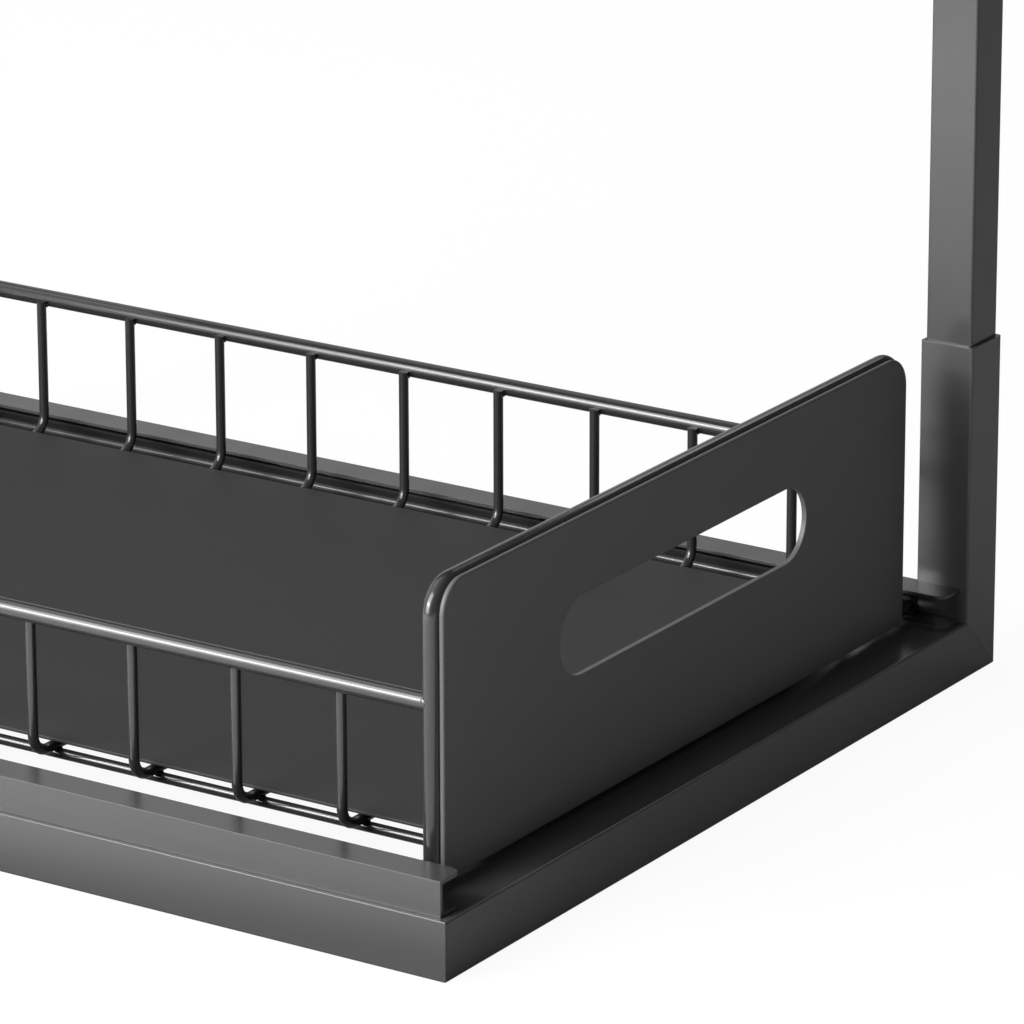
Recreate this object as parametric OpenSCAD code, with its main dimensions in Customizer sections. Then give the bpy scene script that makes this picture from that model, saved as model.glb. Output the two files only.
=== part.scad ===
// Pull-out cabinet basket: a square-tube stand whose posts are all on one side,
// with two wire baskets that run out to the front on ball slides.
// The stand stands on z = 0, the baskets pull out along -Y, and the posts are on the +X side.

/* [Stand] */
// Overall width of the base
frame_w = 341; // [310:1:420]
// Overall depth of the stand
frame_d = 470; // [390:1:520]
// Overall width of the upper tier, which leaves room for pipes beside it
upper_w = 230; // [200:1:280]
// Height of the underside of the upper tier's bars
upper_z = 290; // [260:1:400]
// Side of the square tube
tube = 20; // [19:0.5:24]
// Wall of the square tube
tube_wall = 1.2; // [1:0.1:1.5]
// Outer corner radius of the square tube
tube_radius = 0.9; // [0.3:0.1:1.2]

/* [Posts] */
// Height of a lower sleeve above the base bars
sleeve_h = 98; // [60:1:120]
// Length of an upper sleeve below the upper bars
upper_sleeve_h = 50; // [40:1:90]
// Gap between a post and its sleeve, on each side
post_gap = 0.05; // [0.03:0.01:0.1]
// Distance of a locking screw from the open end of its sleeve
screw_inset = 22; // [12:1:30]
// Thread diameter of a locking screw
screw_d = 4; // [3:0.5:5]

/* [Slide rails] */
// Width of a fixed rail
rail_w = 12.2; // [11.5:0.1:14]
// Height of a fixed rail
rail_h = 12; // [11:0.1:14]
// Sheet thickness of a fixed rail
rail_wall = 1.2; // [1:0.1:1.4]
// Sheet thickness of the slide in it
slide_wall = 1; // [0.8:0.1:1.2]
// Width of the slide
slide_w = 4.6; // [4:0.1:6]
// Distance of the left rail from the outer face of its side tube
rail_inset = 1.9; // [0:0.1:4]
// Distance of a rail's ends from the front and back of the stand
rail_end = 3; // [1:0.5:8]
// Corner radius at the rounded ends of a rail's flanges
rail_corner = 4; // [2:0.5:5]
// How far a basket pulls out
travel = 320; // [200:1:330]
// Diameter of a slide ball
ball_d = 1.6; // [1.4:0.1:1.8]
// Distance between two slide balls
ball_pitch = 14; // [8:1:20]
// Thickness of the ball cage
cage_t = 0.6; // [0.5:0.1:0.7]

/* [Baskets] */
// Gap between a basket's panel and the rails, on each side
side_gap = 7.5; // [6:0.1:12]
// Distance of the panel's face from the front of the stand
panel_setback = 14.5; // [10:0.1:18]
// Thickness of the front panel
panel_t = 2; // [1.5:0.1:3]
// Height of the panel's top above the bars
panel_top = 99; // [85:0.5:120]
// Gap between the panel's bottom edge and the bars
panel_lift = 2.8; // [2:0.1:6]
// Corner radius of the panel's top corners
panel_radius = 11; // [6:0.5:14]
// Length of the hand slot in the lower panel
slot_l = 150; // [100:1:180]
// Length of the hand slot in the upper panel
upper_slot_l = 95; // [70:1:110]
// Height of the hand slot
slot_h = 26; // [20:1:32]
// Height of the hand slot's middle above the bars
slot_z = 59.8; // [50:0.1:66]
// Diameter of the hoop, the top rail and the cross rods
rod_d = 6; // [5:0.1:7]
// Height by which the hoop stands above the panel's top edge
hoop_rise = 1; // [0:0.1:2]
// Distance of the hoop's legs and the top rail, to their middle, from the panel's side edges
rod_in = 0.7; // [0.5:0.1:3]
// Diameter of the basket wires
wire_d = 3.5; // [3:0.1:4]
// Height of the top rail's middle above the bars
top_rail_z = 60; // [45:0.5:75]
// Height of the long wires' middle above the cross rods' middle
wire_lift = 1.3; // [0.5:0.1:2]
// Distance of a long wire from the cross wires' upright legs
long_wire_in = 12.4; // [12:0.1:30]
// Distance between two cross wires
wire_pitch = 39.8; // [30:0.1:60]
// Bend radius of the basket wires
wire_bend = 7; // [6:0.5:10]
// Bend radius of the hoop and of the top rail
rod_bend = 10; // [8:0.5:12]
// Thickness of the floor plate
floor_t = 1.2; // [0.8:0.1:2]
// Gap between the floor plate's edge and the middle of a wire leg
floor_gap = 9.4; // [9:0.1:14]
// Depth to which a weld joins two rods
weld = 0.4; // [0.2:0.05:0.6]

/* [Hidden] */

$fn = 48;
eps = 0.01;                                 // overrun of a cut, so that it leaves no skin
frame_colour = [0.30, 0.30, 0.31];
rail_colour = [0.34, 0.34, 0.35];
wire_colour = [0.20, 0.20, 0.21];
panel_colour = [0.19, 0.19, 0.19];
steel_colour = [0.62, 0.62, 0.64];
rubber_colour = [0.07, 0.07, 0.07];

// Posts and sleeves
post = tube - 2 * tube_wall - 2 * post_gap; // side of the inner post
post_base_z = tube + 2;                     // clear of the mitred corner below it
post_top_z = upper_z - 2;                   // clear of the mitred corner above it
post_x = frame_w - tube;                    // left face of the sleeves
screw_head_d = 2 * screw_d;
screw_head_h = 0.6 * screw_d;
screw_l = 1.6 * screw_d;
screw_gap = 0.1;                            // running room of the screw in its holes

// Slides, seen from the front: rail and slide are both a C that opens towards the basket
rod_r = rod_d / 2;
wire_r = wire_d / 2;
run_gap = 0.05;                             // room for a ball above and below
slide_h = rail_h - 2 * rail_wall - 2 * (ball_d + 2 * run_gap);
slide_x = 1.9;                              // slide's edge behind the rail's open side
slide_back = rail_w - slide_x - slide_w;    // its back, measured from the rail's
cage_gap = 0.3;                             // room between the cage and the slide
cage_back = slide_back - cage_gap - cage_t;
cage_w = slide_w + cage_gap;                // reach of the cage from its back to the basket
rod_drop = 0.4;                             // the cross rods sit just below the slides' middle
rod_z = rail_h / 2 - rod_drop;
rod_round = rod_r / 2;                      // rounding of a cross rod's shoulders
shoulder_gap = 0.3;                         // shoulder of a cross rod to the slide's edge
spigot_r = slide_h / 2 - slide_wall - rod_drop - 0.2;
long_wire_z = rod_z + wire_lift;
wire_z = long_wire_z + wire_d - weld;       // the cross wires lie on the long wires
// how far from a cross rod's middle its surface stands at the long wires' height
rod_side = sqrt(max(0, pow(rod_r, 2) - pow(wire_lift, 2)));
hoop_y = panel_setback + panel_t + rod_r - weld / 2;
slide_y = hoop_y - spigot_r - 0.7;          // front end of a slide, just ahead of the spigot
slide_l = frame_d - 2 * slide_y;
rear_y = frame_d - hoop_y;                  // the basket's back
bumper_gap = 0.3;                           // room left between the closed slide and its bumper
cage_margin = 5;                            // cage to the rail's end when pulled out
shared_l = frame_d - slide_y - travel - rail_end - 2 * cage_margin;
ball_count = max(2, floor(shared_l / ball_pitch));
cage_l = ball_count * ball_pitch;
cage_y = rail_end + cage_margin + travel / 2;

// Tiers: left edge, top of the bars, length of the hand slot
lower = [0, tube, slot_l];
upper = [frame_w - upper_w, upper_z + tube, upper_slot_l];
function tier_x(t) = t[0];
function tier_z(t) = t[1];
function left_rail_x(t) = tier_x(t) + rail_inset;
function right_rail_x(t) = frame_w - tube + rail_wall - rail_w;
function basket_mid(t) = (left_rail_x(t) + rail_w + right_rail_x(t)) / 2;
function half_gap(t) = (right_rail_x(t) - left_rail_x(t) - rail_w) / 2;
function half_panel(t) = half_gap(t) - side_gap;
function half_hoop(t) = half_panel(t) - rod_in;
function half_legs(t) = half_hoop(t) - rod_r - wire_r + weld;
function wire_count() = floor((rear_y - hoop_y - 2 * wire_bend) / wire_pitch);
function first_wire_y() = (hoop_y + rear_y - (wire_count() - 1) * wire_pitch) / 2;
function back_wire_count(t) = floor(2 * (half_panel(t) - 2 * rod_bend) / wire_pitch);
top_wire_z = top_rail_z - 0.2;              // wire ends stand just below the rail's middle
rim_end_y = hoop_y + 2 * weld;              // tips of the rim's ends, beside the hoop's legs

// Moves the stand's left front corner to the part's origin
module placed() {
    translate([-frame_w / 2, -frame_d / 2, 0]) children();
}

// Square with true round corners
module rounded_square(side, r) {
    translate([r, 0]) square([side - 2 * r, side]);
    translate([0, r]) square([side, side - 2 * r]);
    for (x = [r, side - r], y = [r, side - r]) translate([x, y]) circle(r = r);
}

// Square tube along +Z, its corner at the origin
module square_tube(length, side = tube) {
    linear_extrude(height = length) difference() {
        rounded_square(side, tube_radius);
        translate([tube_wall, tube_wall]) square(side - 2 * tube_wall);
    }
}

module tube_along_x(length) {
    translate([0, tube, 0]) rotate([90, 0, 90]) mirror([1, 0, 0]) square_tube(length);
}

module tube_along_y(length) {
    translate([0, length, 0]) rotate([90, 0, 0]) square_tube(length);
}

// Triangular block that takes a 45 degree mitre off a tube's end.
// It is drawn in the XY plane and reaches up by the given height.
module mitre_block(height) {
    reach = 2 * tube;
    translate([0, 0, -eps]) linear_extrude(height = height + 2 * eps)
        polygon([[-reach, -reach], [reach, reach], [-reach, reach]]);
}

// Front bar of a tier, mitred in plan at the left corner and in height at the post
module mitred_bar(length, post_goes_up) {
    difference() {
        tube_along_x(length);
        mitre_block(tube);
        if (post_goes_up) {
            translate([length, tube, 0]) rotate([90, 0, 0]) mirror([1, 0, 0]) mitre_block(tube);
        } else {
            translate([length, 0, tube]) rotate([-90, 0, 0]) mirror([1, 0, 0]) mitre_block(tube);
        }
    }
}

// Side tube with a mitre at both ends, for the side without posts
module mitred_side_tube() {
    difference() {
        tube_along_y(frame_d);
        mirror([1, -1, 0]) mitre_block(tube);
        translate([0, frame_d, 0]) mirror([0, 1, 0]) mirror([1, -1, 0]) mitre_block(tube);
    }
}

// Sleeve that stands on a mitre at the end of a bar; the corner is at the origin
module sleeve(length, hole_z) {
    difference() {
        square_tube(length);
        translate([tube, tube, 0]) rotate([90, 0, 0]) mirror([0, 1, 0]) mitre_block(tube);
        translate([tube / 2, tube - tube_wall - eps, hole_z])
            rotate([-90, 0, 0]) cylinder(h = tube_wall + 2 * eps, d = screw_d + 2 * screw_gap);
    }
}

module inner_post() {
    lower_hole = tube + sleeve_h - screw_inset - post_base_z;
    upper_hole = upper_z - upper_sleeve_h + screw_inset - post_base_z;
    difference() {
        square_tube(post_top_z - post_base_z, post);
        for (z = [lower_hole, upper_hole])
            translate([post / 2, post - tube_wall - eps, z])
                rotate([-90, 0, 0]) cylinder(h = tube_wall + 2 * eps, d = screw_d + 2 * screw_gap);
    }
}

// Pan head screw through the sleeve's back wall into the post; it points along -Y
module locking_screw() {
    difference() {
        union() {
            rotate([90, 0, 0]) cylinder(h = screw_l, d = screw_d);
            rotate([-90, 0, 0]) cylinder(h = screw_head_h, d1 = screw_head_d, d2 = 0.8 * screw_head_d);
        }
        translate([0, screw_head_h, 0]) rotate([90, 0, 0])
            cylinder(h = screw_head_h / 2, d = 0.4 * screw_head_d);
    }
}

// Fixed rail that opens towards +X, its outer bottom edge at the origin
module rail() {
    length = frame_d - 2 * rail_end;
    intersection() {
        difference() {
            cube([rail_w, length, rail_h]);
            translate([rail_wall, -eps, rail_wall])
                cube([rail_w, length + 2 * eps, rail_h - 2 * rail_wall]);
        }
        union() {
            cube([rail_w - rail_corner, length, rail_h]);
            translate([0, rail_corner, 0]) cube([rail_w, length - 2 * rail_corner, rail_h]);
            for (y = [rail_corner, length - rail_corner])
                translate([rail_w - rail_corner, y, 0]) cylinder(h = rail_h, r = rail_corner);
        }
    }
}

// Moving C slide inside a rail; it opens towards the basket too
module slide() {
    translate([slide_back, 0, (rail_h - slide_h) / 2]) difference() {
        cube([slide_w, slide_l, slide_h]);
        translate([slide_wall, -eps, slide_wall])
            cube([slide_w, slide_l + 2 * eps, slide_h - 2 * slide_wall]);
    }
}

// Places of the balls in one slide, in two rows
function ball_x() = slide_back + slide_w / 2;
function ball_z(row) = rail_h / 2 + row * (slide_h / 2 + run_gap + ball_d / 2);

module slide_balls() {
    for (row = [-1, 1], i = [0 : ball_count - 1])
        translate([ball_x(), cage_y + (i + 0.5) * ball_pitch, ball_z(row)]) sphere(d = ball_d);
}

// Bent strip that keeps the balls apart; it reaches round the slide
module ball_cage() {
    reach_z = ball_z(1) - rail_h / 2 + cage_t / 2;
    difference() {
        translate([cage_back, cage_y, rail_h / 2 - reach_z]) difference() {
            cube([cage_w, cage_l, 2 * reach_z]);
            translate([cage_t, -eps, cage_t])
                cube([cage_w, cage_l + 2 * eps, 2 * reach_z - 2 * cage_t]);
        }
        for (row = [-1, 1], i = [0 : ball_count - 1])
            translate([ball_x(), cage_y + (i + 0.5) * ball_pitch, ball_z(row) - cage_t])
                cylinder(h = 2 * cage_t, d = ball_d + 2 * run_gap);
    }
}

// Rubber stop that fills the back end of a rail
module bumper() {
    slide_end = slide_y + slide_l - rail_end + bumper_gap;
    rail_l = frame_d - 2 * rail_end;
    translate([rail_wall, slide_end, rail_wall])
        cube([rail_w - rail_wall - slide_x, rail_l - slide_end, rail_h - 2 * rail_wall]);
}

// Puts a left hand part on the left rail of a tier, or its mirror image on the right rail
module on_left_rail(t) {
    translate([left_rail_x(t), 0, tier_z(t)]) children();
}

module on_right_rail(t) {
    translate([right_rail_x(t) + rail_w, 0, tier_z(t)]) mirror([1, 0, 0]) children();
}

// Round bar bent to a U in the XZ plane: the middles of the legs start at x = 0 and x = span
module bent_u(span, height, r, bend) {
    for (side = [0, 1]) translate([side * span, 0, 0]) mirror([side, 0, 0]) {
        translate([0, 0, bend]) cylinder(h = height - bend, r = r);
        translate([bend, 0, bend]) rotate([90, 0, 0]) rotate([0, 0, 180])
            rotate_extrude(angle = 90) translate([bend, 0]) circle(r = r);
    }
    translate([bend, 0, 0]) rotate([0, 90, 0]) cylinder(h = span - 2 * bend, r = r);
}

// Sheet steel front of a basket, with a hand slot
module front_panel(t) {
    half = half_panel(t);
    height = panel_top - panel_lift;
    slot_end = (t[2] - slot_h) / 2;
    translate([basket_mid(t), panel_setback + panel_t, tier_z(t) + panel_lift])
        rotate([90, 0, 0]) linear_extrude(height = panel_t) difference() {
            union() {
                translate([-half, 0]) square([2 * half, height - panel_radius]);
                translate([panel_radius - half, 0]) square([2 * (half - panel_radius), height]);
                for (x = [panel_radius - half, half - panel_radius])
                    translate([x, height - panel_radius]) circle(r = panel_radius);
            }
            translate([0, slot_z - panel_lift]) {
                square([2 * slot_end, slot_h], center = true);
                for (x = [-slot_end, slot_end]) translate([x, 0]) circle(d = slot_h);
            }
        }
}

// Bent rod round the back of the panel's edge, welded on the front cross rod
module front_hoop(t) {
    top = panel_top + hoop_rise - rod_r;
    translate([basket_mid(t) - half_hoop(t), hoop_y, tier_z(t) + top]) rotate([180, 0, 0])
        bent_u(2 * half_hoop(t), top - rod_z - rod_r + weld, rod_r, rod_bend);
}

// Rod across the basket, with a spigot at each end that stands on the web of a slide
module cross_rod(t, y) {
    half = half_gap(t) + slide_x - shoulder_gap;
    reach = half + shoulder_gap + slide_w - slide_wall;
    translate([basket_mid(t), y, tier_z(t) + rod_z]) rotate([0, 90, 0]) {
        cylinder(h = 2 * (half - rod_round), r = rod_r, center = true);
        cylinder(h = 2 * half, r = rod_r - rod_round, center = true);
        cylinder(h = 2 * reach, r = spigot_r, center = true);
        for (z = [-1, 1] * (half - rod_round)) translate([0, 0, z])
            rotate_extrude() translate([rod_r - rod_round, 0]) circle(r = rod_round);
    }
}

// Rim of the basket: left side, back and right side in one bent rod. Its ends butt against the
// backs of the hoop's legs and are coped to their shape.
module top_rail(t) {
    difference() {
        translate([basket_mid(t) - half_hoop(t), rear_y, tier_z(t) + top_rail_z])
            rotate([90, 0, 0]) bent_u(2 * half_hoop(t), rear_y - rim_end_y, rod_r, rod_bend);
        for (side = [-1, 1])
            translate([basket_mid(t) + side * half_hoop(t), hoop_y, tier_z(t) + top_rail_z - rod_d])
                cylinder(h = 2 * rod_d, r = rod_r - weld);
    }
}

// U-shaped wires that carry the floor, welded inside the rim
module cross_wires(t) {
    for (i = [0 : wire_count() - 1])
        translate([basket_mid(t) - half_legs(t), first_wire_y() + i * wire_pitch, tier_z(t) + wire_z])
            bent_u(2 * half_legs(t), top_wire_z - wire_z, wire_r, wire_bend);
}

// Wires under the cross wires, from the front cross rod to the back one
module long_wires(t) {
    start = hoop_y + rod_side - weld;
    for (x = [-1, 1] * (half_legs(t) - long_wire_in))
        translate([basket_mid(t) + x, start, tier_z(t) + long_wire_z])
            rotate([-90, 0, 0]) cylinder(h = rear_y - rod_side + weld - start, r = wire_r);
}

// Upright wires between the back cross rod and the rim
module back_wires(t) {
    count = back_wire_count(t);
    bottom = rod_z + rod_r - weld;
    for (i = [0 : count - 1])
        translate([basket_mid(t) + (i - (count - 1) / 2) * wire_pitch, rear_y, tier_z(t) + bottom])
            cylinder(h = top_rail_z - rod_r + weld - bottom, r = wire_r);
}

module floor_plate(t) {
    half = half_legs(t) - floor_gap;
    start = panel_setback + panel_t + 0.3;
    translate([basket_mid(t) - half, start, tier_z(t) + wire_z + wire_r])
        cube([2 * half, rear_y - rod_r - start, floor_t]);
}

// ---- Stand ----
module base_front_bar() {
    color(frame_colour) placed() mitred_bar(frame_w, true);
}

module base_rear_bar() {
    color(frame_colour) placed() translate([0, frame_d, 0]) mirror([0, 1, 0])
        mitred_bar(frame_w, true);
}

module base_left_tube() {
    color(frame_colour) placed() mitred_side_tube();
}

module base_right_tube() {
    color(frame_colour) placed() translate([post_x, tube, 0]) tube_along_y(frame_d - 2 * tube);
}

module lower_sleeve() {
    translate([post_x, 0, 0]) sleeve(tube + sleeve_h, tube + sleeve_h - screw_inset);
}

module upper_sleeve() {
    length = tube + upper_sleeve_h;
    translate([post_x, 0, upper_z + tube]) mirror([0, 0, 1]) sleeve(length, length - screw_inset);
}

module front_post_sleeve() {
    color(frame_colour) placed() lower_sleeve();
}

module rear_post_sleeve() {
    color(frame_colour) placed() translate([0, frame_d, 0]) mirror([0, 1, 0]) lower_sleeve();
}

module post_in_sleeve() {
    inset = (tube - post) / 2;
    translate([post_x + inset, inset, post_base_z]) inner_post();
}

module front_post() {
    color(frame_colour) placed() post_in_sleeve();
}

module rear_post() {
    color(frame_colour) placed() translate([0, frame_d, 0]) mirror([0, 1, 0]) post_in_sleeve();
}

module upper_front_sleeve() {
    color(frame_colour) placed() upper_sleeve();
}

module upper_rear_sleeve() {
    color(frame_colour) placed() translate([0, frame_d, 0]) mirror([0, 1, 0]) upper_sleeve();
}

module upper_bar() {
    translate([tier_x(upper), 0, upper_z]) mitred_bar(upper_w, false);
}

module upper_front_bar() {
    color(frame_colour) placed() upper_bar();
}

module upper_rear_bar() {
    color(frame_colour) placed() translate([0, frame_d, 0]) mirror([0, 1, 0]) upper_bar();
}

module upper_left_tube() {
    color(frame_colour) placed() translate([tier_x(upper), 0, upper_z]) mitred_side_tube();
}

module upper_right_tube() {
    color(frame_colour) placed() translate([post_x, tube, upper_z])
        tube_along_y(frame_d - 2 * tube);
}

module locking_screw_pair() {
    for (z = [tube + sleeve_h - screw_inset, upper_z - upper_sleeve_h + screw_inset])
        translate([post_x + tube / 2, tube, z]) locking_screw();
}

module post_locking_screws() {
    color(steel_colour) placed() {
        locking_screw_pair();
        translate([0, frame_d, 0]) mirror([0, 1, 0]) locking_screw_pair();
    }
}

// ---- Fixed rails ----
// The lower right rail is notched where its web meets the two sleeves
module lower_left_rail() {
    color(rail_colour) placed() on_left_rail(lower) translate([0, rail_end, 0]) rail();
}

module lower_right_rail() {
    color(rail_colour) placed() difference() {
        on_right_rail(lower) translate([0, rail_end, 0]) rail();
        for (y = [-eps, frame_d - tube])
            translate([post_x, y, tube - eps]) cube([tube, tube + eps, rail_h + 2 * eps]);
    }
}

module upper_left_rail() {
    color(rail_colour) placed() on_left_rail(upper) translate([0, rail_end, 0]) rail();
}

module upper_right_rail() {
    color(rail_colour) placed() on_right_rail(upper) translate([0, rail_end, 0]) rail();
}

module rail_bumpers(t) {
    color(rubber_colour) placed() {
        on_left_rail(t) translate([0, rail_end, 0]) bumper();
        on_right_rail(t) translate([0, rail_end, 0]) bumper();
    }
}

module lower_rail_bumpers() {
    rail_bumpers(lower);
}

module upper_rail_bumpers() {
    rail_bumpers(upper);
}

// ---- Slides, cages and balls ----
module left_slide(t) {
    color(steel_colour) placed() on_left_rail(t) translate([0, slide_y, 0]) slide();
}

module right_slide(t) {
    color(steel_colour) placed() on_right_rail(t) translate([0, slide_y, 0]) slide();
}

module ball_cages(t) {
    color(steel_colour) placed() {
        on_left_rail(t) ball_cage();
        on_right_rail(t) ball_cage();
    }
}

module tier_balls(t) {
    color(steel_colour) placed() {
        on_left_rail(t) slide_balls();
        on_right_rail(t) slide_balls();
    }
}

module lower_left_slide() { left_slide(lower); }
module lower_right_slide() { right_slide(lower); }
module lower_ball_cages() { ball_cages(lower); }
module lower_slide_balls() { tier_balls(lower); }
module upper_left_slide() { left_slide(upper); }
module upper_right_slide() { right_slide(upper); }
module upper_ball_cages() { ball_cages(upper); }
module upper_slide_balls() { tier_balls(upper); }

// ---- Lower basket ----
module lower_front_cross_rod() { color(wire_colour) placed() cross_rod(lower, hoop_y); }
module lower_rear_cross_rod() { color(wire_colour) placed() cross_rod(lower, rear_y); }
module lower_front_panel() { color(panel_colour) placed() front_panel(lower); }
module lower_front_hoop() { color(wire_colour) placed() front_hoop(lower); }
module lower_top_rail() { color(wire_colour) placed() top_rail(lower); }
module lower_cross_wires() { color(wire_colour) placed() cross_wires(lower); }
module lower_long_wires() { color(wire_colour) placed() long_wires(lower); }
module lower_back_wires() { color(wire_colour) placed() back_wires(lower); }
module lower_floor_plate() { color(panel_colour) placed() floor_plate(lower); }

// ---- Upper basket ----
module upper_front_cross_rod() { color(wire_colour) placed() cross_rod(upper, hoop_y); }
module upper_rear_cross_rod() { color(wire_colour) placed() cross_rod(upper, rear_y); }
module upper_front_panel() { color(panel_colour) placed() front_panel(upper); }
module upper_front_hoop() { color(wire_colour) placed() front_hoop(upper); }
module upper_top_rail() { color(wire_colour) placed() top_rail(upper); }
module upper_cross_wires() { color(wire_colour) placed() cross_wires(upper); }
module upper_long_wires() { color(wire_colour) placed() long_wires(upper); }
module upper_back_wires() { color(wire_colour) placed() back_wires(upper); }
module upper_floor_plate() { color(panel_colour) placed() floor_plate(upper); }

base_front_bar();
base_rear_bar();
base_left_tube();
base_right_tube();
front_post_sleeve();
rear_post_sleeve();
front_post();
rear_post();
upper_front_sleeve();
upper_rear_sleeve();
upper_front_bar();
upper_rear_bar();
upper_left_tube();
upper_right_tube();
post_locking_screws();
lower_left_rail();
lower_right_rail();
lower_rail_bumpers();
upper_left_rail();
upper_right_rail();
upper_rail_bumpers();
lower_left_slide();
lower_right_slide();
lower_front_cross_rod();
lower_rear_cross_rod();
lower_front_panel();
lower_front_hoop();
lower_top_rail();
lower_cross_wires();
lower_long_wires();
lower_back_wires();
lower_floor_plate();
lower_ball_cages();
lower_slide_balls();
upper_left_slide();
upper_right_slide();
upper_front_cross_rod();
upper_rear_cross_rod();
upper_front_panel();
upper_front_hoop();
upper_top_rail();
upper_cross_wires();
upper_long_wires();
upper_back_wires();
upper_floor_plate();
upper_ball_cages();
upper_slide_balls();
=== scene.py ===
"""Looks of the pull-out cabinet basket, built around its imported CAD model.

Everything is in metres in the part's own frame: the posts are on the +X side, and the baskets pull
out along -Y. CAD nodes whose shape is right get a finish here. Sheets, channels, tubes and
bumpers are shown as copies with softened edges. Weld beads, screws with their socket and thread,
and the rolled lips of the slides are added.
"""
import math

import bmesh
import bpy
from mathutils import Matrix, Vector


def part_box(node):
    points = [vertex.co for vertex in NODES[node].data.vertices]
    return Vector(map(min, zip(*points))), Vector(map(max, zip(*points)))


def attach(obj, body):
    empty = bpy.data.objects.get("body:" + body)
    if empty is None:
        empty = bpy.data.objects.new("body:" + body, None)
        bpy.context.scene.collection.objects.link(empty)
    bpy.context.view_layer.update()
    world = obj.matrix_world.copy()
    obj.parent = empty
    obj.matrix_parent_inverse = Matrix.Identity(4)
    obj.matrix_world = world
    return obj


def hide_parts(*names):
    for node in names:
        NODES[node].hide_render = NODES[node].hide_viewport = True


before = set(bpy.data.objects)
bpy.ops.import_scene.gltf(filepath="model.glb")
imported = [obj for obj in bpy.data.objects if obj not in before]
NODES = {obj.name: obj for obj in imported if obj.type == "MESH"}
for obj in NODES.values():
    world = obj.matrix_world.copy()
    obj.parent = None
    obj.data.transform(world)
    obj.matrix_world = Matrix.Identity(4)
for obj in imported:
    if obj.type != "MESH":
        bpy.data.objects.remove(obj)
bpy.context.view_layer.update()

MM = 0.001
TIERS = ("lower", "upper")
SIDES = (-1, 1)

# ---- Camera: a long lens from the front left, a little above the stand ----
CAMERA_AZIMUTH = -56.88
CAMERA_ELEVATION = 18.60
CAMERA_ROLL = -0.123
CAMERA_PLACE = Vector((-1.7113, -1.2646, 0.7747))
CAMERA_LENS = 232.2
CAMERA_SENSOR = 36


def make_camera():
    azimuth, elevation, roll = map(math.radians, (CAMERA_AZIMUTH, CAMERA_ELEVATION, CAMERA_ROLL))
    back = Vector((
        math.sin(azimuth) * math.cos(elevation),
        -math.cos(azimuth) * math.cos(elevation),
        math.sin(elevation),
    ))
    camera = bpy.data.objects.new("camera", bpy.data.cameras.new("camera"))
    bpy.context.scene.collection.objects.link(camera)
    camera.data.lens = CAMERA_LENS
    camera.data.sensor_width = CAMERA_SENSOR
    camera.data.clip_start, camera.data.clip_end = 0.1, 50
    turn = back.to_track_quat("Z", "Y").to_matrix() @ Matrix.Rotation(roll, 3, "Z")
    camera.matrix_world = Matrix.Translation(CAMERA_PLACE) @ turn.to_4x4()
    bpy.context.scene.camera = camera


# ---- Shader node groups ----
def new_group(name, inputs, outputs):
    """A shader group with named numbers and their defaults going in, and named, typed outputs."""
    group = bpy.data.node_groups.new(name, "ShaderNodeTree")
    for label, default in inputs.items():
        socket = group.interface.new_socket(label, in_out="INPUT", socket_type="NodeSocketFloat")
        socket.default_value = default
    for label, kind in outputs.items():
        group.interface.new_socket(label, in_out="OUTPUT", socket_type=kind)
    return group, group.nodes.new("NodeGroupInput"), group.nodes.new("NodeGroupOutput")


def make_coat_grain():
    """Grain of a sprayed coat: fine dimples, soft waves under them and a slow drift of tone."""
    group, given, out = new_group(
        "coat_grain",
        {"Grain size": 0.6, "Wave size": 6.0, "Wave share": 0.4, "Drift size": 90.0},
        {"Height": "NodeSocketFloat", "Drift": "NodeSocketFloat"},
    )
    nodes, links = group.nodes, group.links
    place = nodes.new("ShaderNodeTexCoord").outputs["Object"]

    def noise(size_mm, detail):
        scale = nodes.new("ShaderNodeMath")
        scale.operation = "DIVIDE"
        scale.inputs[0].default_value = 1 / MM
        links.new(given.outputs[size_mm], scale.inputs[1])
        made = nodes.new("ShaderNodeTexNoise")
        made.inputs["Detail"].default_value = detail
        links.new(place, made.inputs["Vector"])
        links.new(scale.outputs[0], made.inputs["Scale"])
        return made.outputs["Fac"]

    blend = nodes.new("ShaderNodeMix")
    links.new(given.outputs["Wave share"], blend.inputs[0])
    links.new(noise("Grain size", 2), blend.inputs[2])
    links.new(noise("Wave size", 1), blend.inputs[3])
    links.new(blend.outputs[0], out.inputs["Height"])
    links.new(noise("Drift size", 3), out.inputs["Drift"])
    return group


def make_swing():
    """Turns a drift from 0 to 1 into a value that swings round its middle."""
    group, given, out = new_group(
        "swing", {"Drift": 0.5, "Middle": 0.5, "Swing": 0.1}, {"Value": "NodeSocketFloat"}
    )
    nodes, links = group.nodes, group.links
    centred = nodes.new("ShaderNodeMath")
    centred.operation = "SUBTRACT"
    centred.inputs[1].default_value = 0.5
    links.new(given.outputs["Drift"], centred.inputs[0])
    swung = nodes.new("ShaderNodeMath")
    swung.operation = "MULTIPLY_ADD"
    links.new(centred.outputs[0], swung.inputs[0])
    links.new(given.outputs["Swing"], swung.inputs[1])
    links.new(given.outputs["Middle"], swung.inputs[2])
    links.new(swung.outputs[0], out.inputs["Value"])
    return group


COAT_GRAIN = make_coat_grain()
SWING = make_swing()


# ---- Materials ----
GLOSS_SWING = 0.10                  # how far a coat's roughness drifts in all
DIMPLE_DEPTH = 0.05 * MM
DRAWN_LINE = 0.5 * MM               # width of a drawing line on plated steel
DRAWN_GLOSS_SWING = 0.25
DRAWN_DEPTH = 0.02 * MM
DRAWN_BUMP = 0.15


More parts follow.
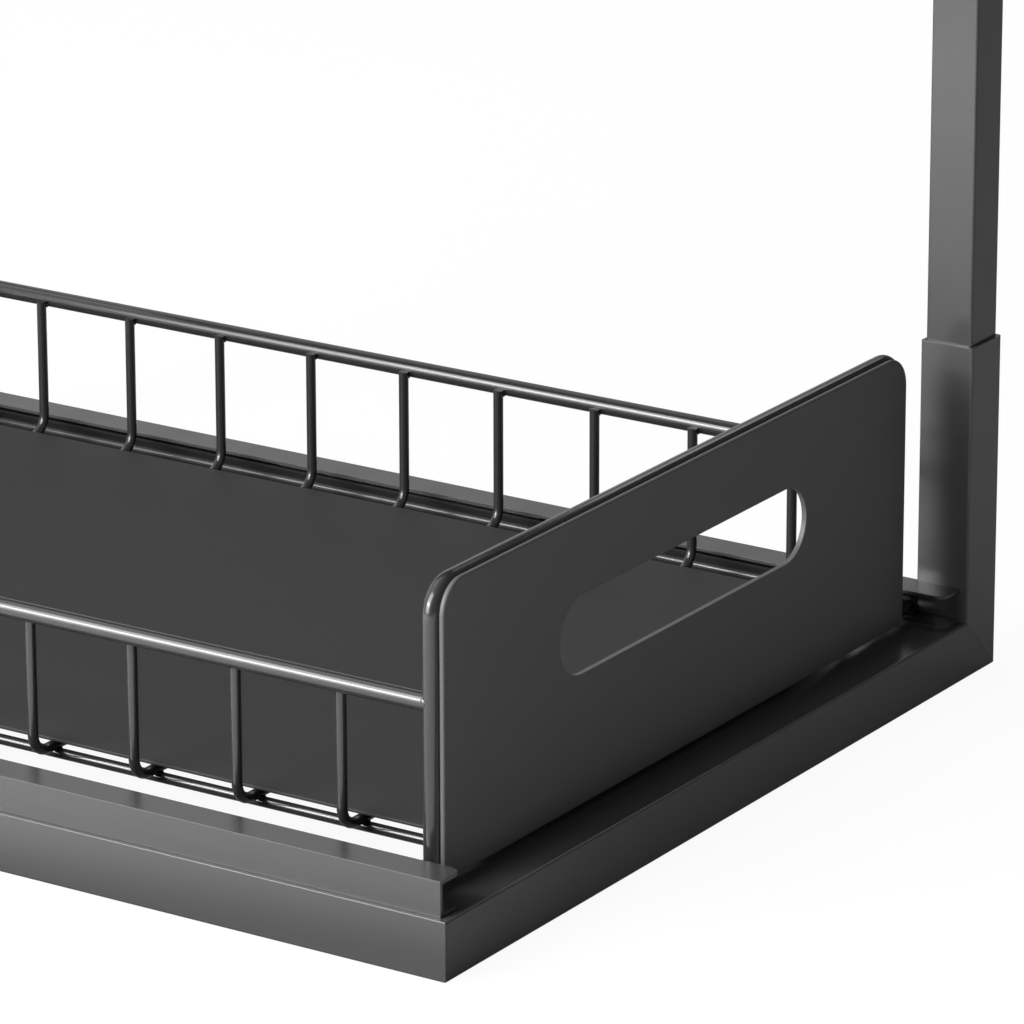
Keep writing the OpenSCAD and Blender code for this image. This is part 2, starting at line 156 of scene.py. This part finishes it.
def add_group(tree, group, **values):
    node = tree.nodes.new("ShaderNodeGroup")
    node.node_tree = group
    for label, value in values.items():
        node.inputs[label.replace("_", " ")].default_value = value
    return node


def new_material(name, colour, roughness, metallic=0.0, ior=1.5):
    material = bpy.data.materials.new(name)
    material.use_nodes = True
    shader = material.node_tree.nodes["Principled BSDF"]
    shader.inputs["Base Color"].default_value = (*colour, 1)
    shader.inputs["Roughness"].default_value = roughness
    shader.inputs["Metallic"].default_value = metallic
    shader.inputs["IOR"].default_value = ior
    return material, shader


def sprayed_coat(name, colour, roughness, grain_mm, bump, ior=1.5, tone=0.10):
    """Powder coat on steel: a dark satin colour, fine grain and slight drifts of tone and gloss."""
    material, shader = new_material(name, colour, roughness, ior=ior)
    tree = material.node_tree
    grain = add_group(tree, COAT_GRAIN, Grain_size=grain_mm)

    gloss = add_group(tree, SWING, Middle=roughness, Swing=GLOSS_SWING)
    tree.links.new(grain.outputs["Drift"], gloss.inputs["Drift"])
    tree.links.new(gloss.outputs["Value"], shader.inputs["Roughness"])

    tint = tree.nodes.new("ShaderNodeMix")
    tint.data_type = "RGBA"
    tint.inputs[6].default_value = (*[c * (1 - tone) for c in colour], 1)
    tint.inputs[7].default_value = (*[c * (1 + tone) for c in colour], 1)
    tree.links.new(grain.outputs["Drift"], tint.inputs[0])
    tree.links.new(tint.outputs[2], shader.inputs["Base Color"])

    dimples = tree.nodes.new("ShaderNodeBump")
    dimples.inputs["Strength"].default_value = bump
    dimples.inputs["Distance"].default_value = DIMPLE_DEPTH
    tree.links.new(grain.outputs["Height"], dimples.inputs["Height"])
    tree.links.new(dimples.outputs["Normal"], shader.inputs["Normal"])
    return material


def plated_steel(name, colour, roughness, stretch):
    """Zinc plate with fine drawing lines along Y."""
    material, shader = new_material(name, colour, roughness, metallic=1.0)
    tree = material.node_tree
    place = tree.nodes.new("ShaderNodeTexCoord")
    drawn = tree.nodes.new("ShaderNodeMapping")
    drawn.inputs["Scale"].default_value = (1, 1 / stretch, 1)
    lines = tree.nodes.new("ShaderNodeTexNoise")
    lines.inputs["Scale"].default_value = 1 / DRAWN_LINE
    gloss = add_group(tree, SWING, Middle=roughness, Swing=DRAWN_GLOSS_SWING)
    scratch = tree.nodes.new("ShaderNodeBump")
    scratch.inputs["Strength"].default_value = DRAWN_BUMP
    scratch.inputs["Distance"].default_value = DRAWN_DEPTH
    tree.links.new(place.outputs["Object"], drawn.inputs["Vector"])
    tree.links.new(drawn.outputs["Vector"], lines.inputs["Vector"])
    tree.links.new(lines.outputs["Fac"], gloss.inputs["Drift"])
    tree.links.new(gloss.outputs["Value"], shader.inputs["Roughness"])
    tree.links.new(lines.outputs["Fac"], scratch.inputs["Height"])
    tree.links.new(scratch.outputs["Normal"], shader.inputs["Normal"])
    return material


def grey(level):
    """A grey with the slight cold cast of the coat."""
    return (level, level, level * 1.03)


TUBE_COAT = sprayed_coat("tube_coat", grey(0.046), 0.22, 0.5, 0.25)
# painted sheen: the sleeves have the tubes' powder coat, painted lighter here for the brighter
# reflections on their faces
SLEEVE_PAINTED_SHEEN_COAT = sprayed_coat("sleeve_painted_sheen_coat", grey(0.060), 0.24, 0.5, 0.25)
RAIL_COAT = sprayed_coat("rail_coat", grey(0.039), 0.26, 0.5, 0.25)
WIRE_COAT = sprayed_coat("wire_coat", grey(0.018), 0.15, 0.5, 0.10)
PANEL_COAT = sprayed_coat("panel_coat", grey(0.071), 0.48, 0.7, 0.5, ior=1.40)
FLOOR_COAT = sprayed_coat("floor_coat", grey(0.017), 0.62, 0.8, 0.6, ior=1.33)
SLIDE_COAT = sprayed_coat("slide_coat", grey(0.008), 0.45, 0.5, 0.15, ior=1.4)
BALL_STEEL = plated_steel("ball_steel", grey(0.60), 0.16, 1)
CAGE_STEEL = plated_steel("cage_steel", grey(0.42), 0.30, 12)
SCREW_STEEL = plated_steel("screw_steel", grey(0.30), 0.32, 1)
BUMPER_RUBBER = sprayed_coat("bumper_rubber", grey(0.015), 0.75, 1.2, 0.7, ior=1.45)

FINISHES = {
    "tube": TUBE_COAT, "bar": TUBE_COAT, "sleeve": SLEEVE_PAINTED_SHEEN_COAT, "post": TUBE_COAT,
    "rail": RAIL_COAT, "bumpers": BUMPER_RUBBER, "screws": SCREW_STEEL,
    "slide": SLIDE_COAT, "cages": CAGE_STEEL, "balls": BALL_STEEL,
    "panel": PANEL_COAT, "plate": FLOOR_COAT,
    "hoop": WIRE_COAT, "rod": WIRE_COAT, "wires": WIRE_COAT,
}


def finish_of(node):
    """A node is finished by the last word of its name; the top rail is a rod of the basket."""
    return WIRE_COAT if node.endswith("top_rail") else FINISHES[node.rsplit("_", 1)[1]]


def set_material(obj, material):
    obj.data.materials.clear()
    obj.data.materials.append(material)


# ---- Pieces that show a CAD node with softened edges ----
PANEL_EDGE = (0.8 * MM, 4)          # width of a rounded edge, and its steps
PLATE_EDGE = (0.4 * MM, 3)
BUMPER_EDGE = (0.3 * MM, 3)
TUBE_EDGE = (0.12 * MM, 2)
SLOT_EDGE_SHARE = 0.4               # of the panel's edge width, round the hand slot
SHARP_EDGE = math.radians(40)       # an edge that turns more than this is rounded
TUBE_CORNER_R = 0.9 * MM            # as the tube is drawn
TIGHT_CORNER_R = 0.3 * MM           # on the left side tubes' outer top edge
MATCH = 0.02 * MM                   # how near a point counts as on a line


def merged_copy(node, name):
    """A copy of a CAD node as one clean mesh, with flat faces joined and seams closed."""
    made = bpy.data.objects.new(name, NODES[node].data.copy())
    bpy.context.scene.collection.objects.link(made)
    mesh = bmesh.new()
    mesh.from_mesh(made.data)
    bmesh.ops.remove_doubles(mesh, verts=mesh.verts, dist=1e-6)
    bmesh.ops.dissolve_limit(
        mesh, angle_limit=math.radians(0.5), verts=mesh.verts, edges=mesh.edges,
        delimit={"NORMAL"},
    )
    bmesh.ops.recalc_face_normals(mesh, faces=mesh.faces)
    for face in mesh.faces:
        face.smooth = True
    mesh.to_mesh(made.data)
    mesh.free()
    return made


def apply_modifiers(obj):
    """Makes the shown shape the mesh itself."""
    graph = bpy.context.evaluated_depsgraph_get()
    graph.update()
    shown = bpy.data.meshes.new_from_object(obj.evaluated_get(graph))
    obj.modifiers.clear()
    obj.data = shown


def weigh_sharp_edges(mesh, fine_box, fine_share):
    """Gives each sharp edge its share of the softening: less inside a box, such as round a slot."""
    shape = bmesh.new()
    shape.from_mesh(mesh)
    share = shape.edges.layers.float.new("bevel_weight_edge")
    for edge in shape.edges:
        if len(edge.link_faces) == 2 and edge.calc_face_angle() > SHARP_EDGE:
            middle = (edge.verts[0].co + edge.verts[1].co) / 2
            fine = fine_box and all(a < m < b for a, m, b in zip(fine_box[0], middle, fine_box[1]))
            edge[share] = fine_share if fine else 1
    shape.to_mesh(mesh)
    shape.free()


def tighten_top_left(mesh, from_r, to_r):
    """Gives a side tube's outer top edge a smaller radius, and keeps its ends on their mitres."""
    low = Vector(min(vert.co[i] for vert in mesh.vertices) for i in range(3))
    high = Vector(max(vert.co[i] for vert in mesh.vertices) for i in range(3))
    for vert in mesh.vertices:
        x, y, z = vert.co
        if x > low.x + from_r or z < high.z - from_r:
            continue
        lean = Vector((x - low.x - from_r, z - high.z + from_r))
        if abs(lean.length - from_r) > MATCH:
            continue
        lean.normalize()
        vert.co.x = low.x + to_r + lean.x * to_r
        vert.co.z = high.z - to_r + lean.y * to_r
        for end, way in ((low.y, 1), (high.y, -1)):
            if abs(way * (y - end) - (x - low.x)) < MATCH:
                vert.co.y += way * (vert.co.x - x)


def add_softened(node, name, edge, body, fine_box=None):
    """Shows a node as a copy whose sharp edges are rounded by a width, in a number of steps."""
    piece = merged_copy(node, name)
    if node.endswith("left_tube"):
        tighten_top_left(piece.data, TUBE_CORNER_R, TIGHT_CORNER_R)
    weigh_sharp_edges(piece.data, fine_box, SLOT_EDGE_SHARE)
    bevel = piece.modifiers.new("soft_edges", "BEVEL")
    bevel.width, bevel.segments = edge
    bevel.limit_method = "WEIGHT"
    bevel.miter_outer = "MITER_ARC"
    flat = piece.modifiers.new("flat_faces", "WEIGHTED_NORMAL")
    flat.weight = 100
    apply_modifiers(piece)
    set_material(piece, finish_of(node))
    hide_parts(node)
    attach(piece, body)


# ---- Welds, screws and slide lips ----
ROD_R = 3.0 * MM
WIRE_R = 1.75 * MM
WIRE_PITCH = 39.8 * MM
CROSS_WIRES = 10
BACK_WIRES = {"lower": 6, "upper": 3}
SCREW_HEAD_R = 4.0 * MM
SCREW_HEAD_H = 2.4 * MM
SCREW_L = 6.4 * MM
SCREW_R = 1.9 * MM
THREAD_PITCH = 0.7 * MM
THREAD_DEPTH = 0.35 * MM
SCREW_TIP_L = 0.8 * MM              # the tapered tip, and how far it narrows
SCREW_TIP_CUT = 0.4 * MM
SOCKET_FLAT = 1.25 * MM             # from the middle of the hexagonal socket to a flat
SLIDE_LIP_R = 1.35 * MM
SLIDE_LIP_Z = 1.35 * MM             # middle of the lip above the underside of the slide
SLIDE_LIP_END = 4 * MM              # clear of each cross rod's middle
SLIDE_LIP_EDGE = 0.3 * MM
BEAD_UNEVENNESS = 0.12
WELDS = {                           # half sizes in mm: across, along and up
    "wire_on_rim": (0.9, 2.1, 1.3),
    "wire_on_long_wire": (1.9, 1.9, 0.7),
    "long_wire_on_rod": (2.3, 1.0, 2.1),
    "hoop_on_rod": (3.4, 3.0, 1.1),
    "hoop_on_rim": (3.1, 1.0, 3.2),
    "hoop_on_sheet": (1.5, 0.9, 5.0),
    "back_wire": (2.3, 2.3, 0.9),
}


def make_set_out():
    """Geometry nodes that set a part on each spot, with the spot's turn and size, as real mesh."""
    tree = bpy.data.node_groups.new("set_out", "GeometryNodeTree")
    for label, kind in (
        ("Spots", "NodeSocketGeometry"), ("Part", "NodeSocketObject"),
        ("Finish", "NodeSocketMaterial"), ("Unevenness", "NodeSocketFloat"),
        ("Seed", "NodeSocketInt"),
    ):
        tree.interface.new_socket(label, in_out="INPUT", socket_type=kind)
    tree.interface.new_socket("Parts", in_out="OUTPUT", socket_type="NodeSocketGeometry")
    nodes, links = tree.nodes, tree.links
    given, out = nodes.new("NodeGroupInput"), nodes.new("NodeGroupOutput")
    part = nodes.new("GeometryNodeObjectInfo")
    links.new(given.outputs["Part"], part.inputs["Object"])

    def read(label):
        found = nodes.new("GeometryNodeInputNamedAttribute")
        found.data_type = "FLOAT_VECTOR"
        found.inputs["Name"].default_value = label
        return found.outputs["Attribute"]

    turn = nodes.new("FunctionNodeEulerToRotation")
    links.new(read("turn"), turn.inputs[0])
    least = nodes.new("ShaderNodeMath")
    least.operation = "SUBTRACT"
    least.inputs[0].default_value = 1
    most = nodes.new("ShaderNodeMath")
    most.operation = "ADD"
    most.inputs[0].default_value = 1
    uneven = nodes.new("FunctionNodeRandomValue")
    uneven.data_type = "FLOAT_VECTOR"
    for end, socket in ((least, 0), (most, 1)):
        links.new(given.outputs["Unevenness"], end.inputs[1])
        links.new(end.outputs[0], uneven.inputs[socket])
    links.new(given.outputs["Seed"], uneven.inputs["Seed"])
    size = nodes.new("ShaderNodeVectorMath")
    size.operation = "MULTIPLY"
    links.new(read("size"), size.inputs[0])
    links.new(uneven.outputs[0], size.inputs[1])
    place = nodes.new("GeometryNodeInstanceOnPoints")
    links.new(given.outputs["Spots"], place.inputs["Points"])
    links.new(part.outputs["Geometry"], place.inputs["Instance"])
    links.new(turn.outputs[0], place.inputs["Rotation"])
    links.new(size.outputs[0], place.inputs["Scale"])
    real = nodes.new("GeometryNodeRealizeInstances")
    coat = nodes.new("GeometryNodeSetMaterial")
    links.new(place.outputs[0], real.inputs[0])
    links.new(real.outputs[0], coat.inputs["Geometry"])
    links.new(given.outputs["Finish"], coat.inputs["Material"])
    links.new(coat.outputs[0], out.inputs["Parts"])
    return tree


def set_out(name, part, spots, finish, unevenness, seed, body):
    """Makes one piece of a part that is repeated at spots, each with a place, a turn and a size."""
    data = bpy.data.meshes.new(name)
    data.from_pydata([place for place, turn, size in spots], [], [])
    for label, index in (("turn", 1), ("size", 2)):
        values = data.attributes.new(label, "FLOAT_VECTOR", "POINT")
        for value, spot in zip(values.data, spots):
            value.vector = spot[index]
    piece = bpy.data.objects.new(name, data)
    bpy.context.scene.collection.objects.link(piece)
    made = piece.modifiers.new("set_out", "NODES")
    made.node_group = SET_OUT
    given = {"Part": part, "Finish": finish, "Unevenness": unevenness, "Seed": seed}
    for socket in SET_OUT.interface.items_tree:
        if socket.in_out == "INPUT" and socket.name in given:
            made[socket.identifier] = given[socket.name]
    apply_modifiers(piece)
    for label in ("turn", "size"):
        if label in piece.data.attributes:
            piece.data.attributes.remove(piece.data.attributes[label])
    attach(piece, body)
    return piece


def loft(name, rings):
    """A closed mesh through rings of points, with a fan over the first and the last ring."""
    mesh = bmesh.new()
    loops = [[mesh.verts.new(point) for point in ring] for ring in rings]
    for here, there in zip(loops, loops[1:]):
        for i in range(len(here)):
            j = (i + 1) % len(here)
            mesh.faces.new((here[i], here[j], there[j], there[i]))
    for loop in (loops[0], loops[-1]):
        tip = mesh.verts.new(sum((vert.co for vert in loop), Vector()) / len(loop))
        for i in range(len(loop)):
            mesh.faces.new((loop[i], loop[(i + 1) % len(loop)], tip))
    bmesh.ops.recalc_face_normals(mesh, faces=mesh.faces)
    data = bpy.data.meshes.new(name)
    mesh.to_mesh(data)
    mesh.free()
    made = bpy.data.objects.new(name, data)
    bpy.context.scene.collection.objects.link(made)
    return made


def make_screw():
    """Button head screw with a hexagonal socket; its head is above z = 0 and its thread below."""
    count = 48
    turns = [2 * math.pi * i / count for i in range(count)]

    def round_ring(radius, height):
        return [Vector((radius * math.cos(a), radius * math.sin(a), height)) for a in turns]

    def hex_ring(flat, height):
        wide = [flat / math.cos((a % (math.pi / 3)) - math.pi / 6) for a in turns]
        return [Vector((r * math.cos(a), r * math.sin(a), height)) for r, a in zip(wide, turns)]

    flat_share, dome_share = 0.46, 0.86     # of the head: the flat's radius, the dome's height
    rings = [
        hex_ring(SOCKET_FLAT * 0.96, SCREW_HEAD_H * 0.42),
        hex_ring(SOCKET_FLAT, SCREW_HEAD_H * 0.46),
        hex_ring(SOCKET_FLAT, SCREW_HEAD_H * 0.96),
        hex_ring(SOCKET_FLAT * 1.05, SCREW_HEAD_H),
        round_ring(SCREW_HEAD_R * flat_share, SCREW_HEAD_H),
    ]
    for step in range(1, 9):
        lean = step / 8 * math.pi / 2
        radius = SCREW_HEAD_R * (flat_share + (1 - flat_share) * math.sin(lean))
        height = SCREW_HEAD_H * (1 - dome_share + dome_share * math.cos(lean))
        rings.append(round_ring(radius, height))
    rings += [round_ring(SCREW_HEAD_R, SCREW_HEAD_H * 0.04), round_ring(SCREW_HEAD_R * 0.98, 0)]
    steps = 48
    for step in range(steps + 1):
        depth = SCREW_L * step / steps
        taper = min(1, (SCREW_L - depth) / SCREW_TIP_L)
        ring = []
        for a in turns:
            wave = abs(((depth / THREAD_PITCH + a / (2 * math.pi)) % 1) - 0.5) * 2
            radius = SCREW_R - THREAD_DEPTH * (1 - wave) - SCREW_TIP_CUT * (1 - taper)
            ring.append(Vector((radius * math.cos(a), radius * math.sin(a), -depth)))
        rings.append(ring)
    screw = loft("screw_shape", rings)
    for face in screw.data.polygons:
        face.use_smooth = True
    screw.data.set_sharp_from_angle(angle=math.radians(35))
    return screw


def make_bead():
    """A round weld bead with a radius of 1."""
    mesh = bmesh.new()
    bmesh.ops.create_uvsphere(mesh, u_segments=14, v_segments=8, radius=1)
    for face in mesh.faces:
        face.smooth = True
    data = bpy.data.meshes.new("bead_shape")
    mesh.to_mesh(data)
    mesh.free()
    made = bpy.data.objects.new("bead_shape", data)
    bpy.context.scene.collection.objects.link(made)
    return made


def middle_of(node):
    low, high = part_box(node)
    return (low + high) / 2


def reach_of(node):
    low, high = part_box(node)
    return (high - low) / 2


def weld_spots(tier):
    """Places and half sizes, in metres, of every weld on a basket.

    Small offsets from the middles of the rods and wires put each bead into its notch.
    """
    rim, rod = middle_of(f"{tier}_top_rail"), middle_of(f"{tier}_front_cross_rod")
    along, foot = middle_of(f"{tier}_long_wires"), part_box(f"{tier}_back_wires")[0].z
    rim_x = reach_of(f"{tier}_top_rail").x - ROD_R
    long_x = reach_of(f"{tier}_long_wires").x - WIRE_R
    front_y, back_y = rod.y, middle_of(f"{tier}_rear_cross_rod").y
    sheet_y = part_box(f"{tier}_front_panel")[1].y
    spots = []

    def add(weld, x, y, z):
        size = [half * MM for half in WELDS[weld]]
        spots.append((Vector((rim.x + x, y, z)), (0, 0, 0), size))

    for side in SIDES:
        for i in range(CROSS_WIRES):
            y = (i - (CROSS_WIRES - 1) / 2) * WIRE_PITCH
            add("wire_on_rim", side * (rim_x - 2.8 * MM), y, rim.z - 1.7 * MM)
            add("wire_on_long_wire", side * long_x, y, along.z + 1.55 * MM)
        for y in (front_y + 2.9 * MM, back_y - 2.9 * MM):
            add("long_wire_on_rod", side * long_x, y, along.z)
        add("hoop_on_rod", side * rim_x, front_y, rod.z + ROD_R)
        add("hoop_on_rim", side * rim_x, front_y + 2.2 * MM, rim.z)
        for z in (rod.z + 16 * MM, rim.z + 14 * MM):
            add("hoop_on_sheet", side * (rim_x - 1.9 * MM), sheet_y + 0.5 * MM, z)
    count = BACK_WIRES[tier]
    for i in range(count):
        x = (i - (count - 1) / 2) * WIRE_PITCH
        add("back_wire", x, back_y, rim.z - ROD_R)
        add("back_wire", x, back_y, foot + 0.3 * MM)
    return spots


def add_slide_lips(tier):
    """Rolled lips along the slides' lower flanges, between the basket's cross rods."""
    mesh = bmesh.new()
    front, back = middle_of(f"{tier}_front_cross_rod").y, middle_of(f"{tier}_rear_cross_rod").y
    for hand, facing in (("left", 1), ("right", -1)):
        low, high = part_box(f"{tier}_{hand}_slide")
        edge_x = high.x if facing > 0 else low.x
        place = Vector((edge_x - facing * SLIDE_LIP_R, (front + back) / 2, low.z + SLIDE_LIP_Z))
        bmesh.ops.create_cone(
            mesh, cap_ends=True, segments=28, radius1=SLIDE_LIP_R, radius2=SLIDE_LIP_R,
            depth=back - front - 2 * SLIDE_LIP_END,
            matrix=Matrix.Translation(place) @ Matrix.Rotation(math.pi / 2, 4, "X"),
        )
    rims = [edge for edge in mesh.edges if edge.calc_face_angle() > math.radians(60)]
    bmesh.ops.bevel(mesh, geom=rims, offset=SLIDE_LIP_EDGE, segments=3, affect="EDGES")
    bmesh.ops.recalc_face_normals(mesh, faces=mesh.faces)
    for face in mesh.faces:
        face.smooth = True
    data = bpy.data.meshes.new(f"{tier}_slide_lips")
    mesh.to_mesh(data)
    mesh.free()
    data.set_sharp_from_angle(angle=math.radians(30))
    lips = bpy.data.objects.new(f"{tier}_slide_lips", data)
    bpy.context.scene.collection.objects.link(lips)
    set_material(lips, RAIL_COAT)
    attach(lips, f"{tier}_basket")


def add_welds(bead):
    for seed, tier in enumerate(TIERS, 1):
        set_out(
            f"{tier}_welds", bead, weld_spots(tier), WIRE_COAT, BEAD_UNEVENNESS, seed,
            f"{tier}_basket",
        )


def add_screws(screw):
    """Screws in the sleeves' inner walls, where the CAD model's plain ones stand."""
    low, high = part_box("post_locking_screws")
    x = (low.x + high.x) / 2
    spots = []
    for z in (low.z + SCREW_HEAD_R, high.z - SCREW_HEAD_R):
        spots.append((Vector((x, low.y + SCREW_L, z)), (-math.pi / 2, 0, 0.3), (1, 1, 1)))
        spots.append((Vector((x, high.y - SCREW_L, z)), (math.pi / 2, 0, 0.7), (1, 1, 1)))
    screws = set_out("post_screws", screw, spots, SCREW_STEEL, 0, 1, "stand")
    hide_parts("post_locking_screws")


# ---- Light and surroundings ----
FLOOR_HALF = 6
FLOOR_DROP = 0.2 * MM
FLOOR_GLOW = 0.94                   # the rest of the floor's white takes the object's shadow
FLOOR_WHITE = (0.9, 0.9, 0.9, 1)
FLOOR_BRIGHT_SIDE = Vector((-1, 0.1, 0))
FLOOR_FADE = (0.12, 0.25)           # metres left of the middle, where the tones start and end
FLOOR_PAINTED_SHADE = ((0, 0.37), (0.33, 0.03), (0.77, 1.0))    # painted shade that rays other than the camera's see: dim under the stand and to its right, dark in a strip beside its left side, white out in the light
FLOOR_IN_GLOSS = 0.10               # share of the white cover that gloss shows
ROOM_BRIGHT_SIDE = Vector((-0.35, 0.88, 0.30)).normalized()
ROOM_FADE = (-0.25, 0.75)           # from the dark side's edge to the bright side's
ROOM_TONES = (0.10, 1.0)
ROOM_IN_GLOSS = 0.05


def white_cover(tree, gloss_share):
    """How much of the white cover a ray sees: all for the camera and glass, a share for gloss."""
    path = tree.nodes.new("ShaderNodeLightPath")
    gloss = tree.nodes.new("ShaderNodeMath")
    gloss.operation = "MULTIPLY_ADD"
    gloss.inputs[1].default_value = gloss_share
    tree.links.new(path.outputs["Is Glossy Ray"], gloss.inputs[0])
    tree.links.new(path.outputs["Is Camera Ray"], gloss.inputs[2])
    clear = tree.nodes.new("ShaderNodeMath")
    clear.operation = "ADD"
    clear.use_clamp = True
    tree.links.new(gloss.outputs[0], clear.inputs[0])
    tree.links.new(path.outputs["Is Transmission Ray"], clear.inputs[1])
    return clear.outputs[0]


def make_floor():
    """Pale floor. It is white where the camera sees it, with a little of the object's shadow. Other
    rays see painted shade on it: dim under the stand and to its right, dark in a strip along its
    left side, white further out.
    """
    mesh = bmesh.new()
    bmesh.ops.create_grid(mesh, x_segments=1, y_segments=1, size=FLOOR_HALF)
    data = bpy.data.meshes.new("floor")
    mesh.to_mesh(data)
    mesh.free()
    floor = bpy.data.objects.new("floor", data)
    floor.location.z = -FLOOR_DROP
    bpy.context.scene.collection.objects.link(floor)

    material = bpy.data.materials.new("floor_white_and_painted_shade")
    material.use_nodes = True
    tree = material.node_tree
    tree.nodes.clear()
    place = tree.nodes.new("ShaderNodeTexCoord")
    across = tree.nodes.new("ShaderNodeVectorMath")
    across.operation = "DOT_PRODUCT"
    across.inputs[1].default_value = FLOOR_BRIGHT_SIDE
    reach = tree.nodes.new("ShaderNodeMapRange")
    reach.inputs["From Min"].default_value = FLOOR_FADE[0]
    reach.inputs["From Max"].default_value = FLOOR_FADE[1]
    # painted shade: the floor's colour for rays other than the camera's, darker under and beside
    # the stand
    shade = tree.nodes.new("ShaderNodeValToRGB")
    shade.color_ramp.interpolation = "EASE"
    shade.color_ramp.elements.new(0.5)
    for stop, (along, tone) in zip(shade.color_ramp.elements, FLOOR_PAINTED_SHADE):
        stop.position = along
        stop.color = (tone, tone, tone, 1)
    diffuse = tree.nodes.new("ShaderNodeBsdfDiffuse")
    seen = tree.nodes.new("ShaderNodeBsdfDiffuse")
    seen.inputs["Color"].default_value = FLOOR_WHITE
    glow = tree.nodes.new("ShaderNodeEmission")
    white = tree.nodes.new("ShaderNodeMixShader")
    white.inputs[0].default_value = FLOOR_GLOW
    blend = tree.nodes.new("ShaderNodeMixShader")
    out = tree.nodes.new("ShaderNodeOutputMaterial")
    tree.links.new(place.outputs["Object"], across.inputs[0])
    tree.links.new(across.outputs["Value"], reach.inputs["Value"])
    tree.links.new(reach.outputs["Result"], shade.inputs["Fac"])
    tree.links.new(shade.outputs["Color"], diffuse.inputs["Color"])
    tree.links.new(seen.outputs[0], white.inputs[1])
    tree.links.new(glow.outputs[0], white.inputs[2])
    tree.links.new(white_cover(tree, FLOOR_IN_GLOSS), blend.inputs[0])
    tree.links.new(diffuse.outputs[0], blend.inputs[1])
    tree.links.new(white.outputs[0], blend.inputs[2])
    tree.links.new(blend.outputs[0], out.inputs["Surface"])
    data.materials.append(material)


def make_room():
    """A studio that is bright at the back left and dim at the front right, under a white cover."""
    world = bpy.data.worlds.new("studio")
    bpy.context.scene.world = world
    world.use_nodes = True
    tree = world.node_tree
    tree.nodes.clear()
    place = tree.nodes.new("ShaderNodeTexCoord")
    side = tree.nodes.new("ShaderNodeVectorMath")
    side.operation = "DOT_PRODUCT"
    side.inputs[1].default_value = ROOM_BRIGHT_SIDE
    fade = tree.nodes.new("ShaderNodeMapRange")
    fade.interpolation_type = "SMOOTHSTEP"
    fade.inputs["From Min"].default_value = ROOM_FADE[0]
    fade.inputs["From Max"].default_value = ROOM_FADE[1]
    fade.inputs["To Min"].default_value = ROOM_TONES[0]
    fade.inputs["To Max"].default_value = ROOM_TONES[1]
    room = tree.nodes.new("ShaderNodeBackground")
    white = tree.nodes.new("ShaderNodeBackground")
    white.inputs["Color"].default_value = (1, 1, 1, 1)
    blend = tree.nodes.new("ShaderNodeMixShader")
    out = tree.nodes.new("ShaderNodeOutputWorld")
    tree.links.new(place.outputs["Generated"], side.inputs[0])
    tree.links.new(side.outputs["Value"], fade.inputs["Value"])
    tree.links.new(fade.outputs["Result"], room.inputs["Color"])
    tree.links.new(white_cover(tree, ROOM_IN_GLOSS), blend.inputs[0])
    tree.links.new(room.outputs[0], blend.inputs[1])
    tree.links.new(white.outputs[0], blend.inputs[2])
    tree.links.new(blend.outputs[0], out.inputs["Surface"])


def add_softbox(name, place, aim, size, power):
    """A square area light at a place, turned to an aim."""
    lamp = bpy.data.lights.new(name, "AREA")
    lamp.shape = "RECTANGLE"
    lamp.size, lamp.size_y = size
    lamp.energy = power
    obj = bpy.data.objects.new(name, lamp)
    bpy.context.scene.collection.objects.link(obj)
    place, aim = Vector(place), Vector(aim)
    turn = (place - aim).to_track_quat("Z", "Y").to_matrix().to_4x4()
    obj.matrix_world = Matrix.Translation(place) @ turn


# ---- The pieces of a basket's tier and of the stand ----
def dress_tier(tier):
    """Shows a tier's panel, floor plate, bumpers and channels with their softened edges."""
    basket = f"{tier}_basket"
    add_slide_lips(tier)
    panel_low, panel_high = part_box(f"{tier}_front_panel")
    slot_box = (panel_low + Vector((12, -1, 40)) * MM, panel_high - Vector((12, -1, 12)) * MM)
    add_softened(
        f"{tier}_front_panel", f"{tier}_panel_sheet", PANEL_EDGE, basket, slot_box
    )
    add_softened(f"{tier}_floor_plate", f"{tier}_floor_sheet", PLATE_EDGE, basket)
    add_softened(f"{tier}_rail_bumpers", f"{tier}_rubber_stops", BUMPER_EDGE, "stand")
    for hand in ("left", "right"):
        add_softened(
            f"{tier}_{hand}_rail", f"{tier}_{hand}_channel", TUBE_EDGE, "stand"
        )


def dress_stand():
    """Shows the stand's tubes with softened edges, so that the seams between them can be seen."""
    for name in NODES:
        if name.rsplit("_", 1)[1] in ("tube", "bar", "sleeve", "post"):
            add_softened(name, f"{name}_coated", TUBE_EDGE, "stand")


make_camera()
make_floor()
make_room()
add_softbox("left_softbox", (-1.25, 0.44, 0.78), (0, 0, 0.05), (1.2, 1.35), 48)
add_softbox("left_strip", (-1.15, 0.42, 0.62), (0, -0.10, 0.06), (0.75, 0.14), 11)
add_softbox("right_strip", (1.20, -0.05, 1.00), (0, 0, 0.10), (0.60, 0.30), 1)
add_softbox("top_softbox", (-0.2, 0.7, 1.6), (0, 0, 0.1), (1.2, 1.0), 3)

for node_name, node in NODES.items():
    set_material(node, finish_of(node_name))

SET_OUT = make_set_out()
bead, screw = make_bead(), make_screw()
add_welds(bead)
add_screws(screw)
for shape in (bead, screw):
    bpy.data.objects.remove(shape)

for tier in TIERS:
    dress_tier(tier)
dress_stand()

bpy.context.scene.view_settings.view_transform = "Standard"
